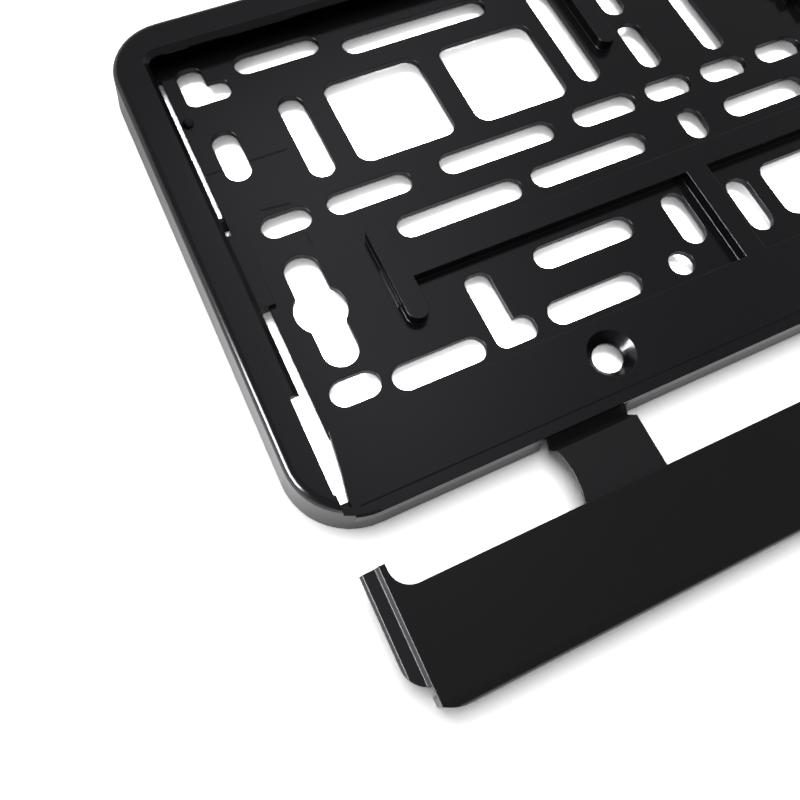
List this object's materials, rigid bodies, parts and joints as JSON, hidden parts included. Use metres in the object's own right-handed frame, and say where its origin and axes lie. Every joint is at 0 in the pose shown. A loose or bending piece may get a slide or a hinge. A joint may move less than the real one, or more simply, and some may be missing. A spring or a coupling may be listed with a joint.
{
  "type": "number plate holder",
  "caption": "Flat rectangular vehicle number plate holder: slotted base with a raised rim and lips, and a hinged retaining bar that clips over its bottom edge.",
  "frame": {"origin": "middle of the base frame's width and height, in the plane of the surface that it lies on", "axes": "+X along the width to the reader's right, +Y from the bottom edge to the top edge, +Z out of the front"},
  "size_m": [0.532, 0.173, 0.0107],
  "materials": {
    "base_plastic": "satin black moulded plastic with glossy rounded edges",
    "strap_plastic": "satin black flexible moulded plastic",
    "bar_plastic": "satin black moulded plastic"
  },
  "bodies": {
    "base": {"base_frame": "base_plastic"},
    "straps": {"left_strap": "strap_plastic", "right_strap": "strap_plastic"},
    "bar": {"retaining_bar": "bar_plastic"}
  },
  "joints": [
    {"name": "strap_hinge", "type": "hinge", "parent": "base", "child": "straps", "pos_m": [0, -0.0677, 0.0079], "axis": [-1, 0, 0], "range_deg": [0, 150]},
    {"name": "bar_hinge", "type": "hinge", "parent": "straps", "child": "bar", "pos_m": [0, -0.0858, 0.00765], "axis": [-1, 0, 0], "range_deg": [-150, 0]}
  ],
  "couplings": [
    {"joint": "bar_hinge", "follows": "strap_hinge", "ratio": -1}
  ]
}
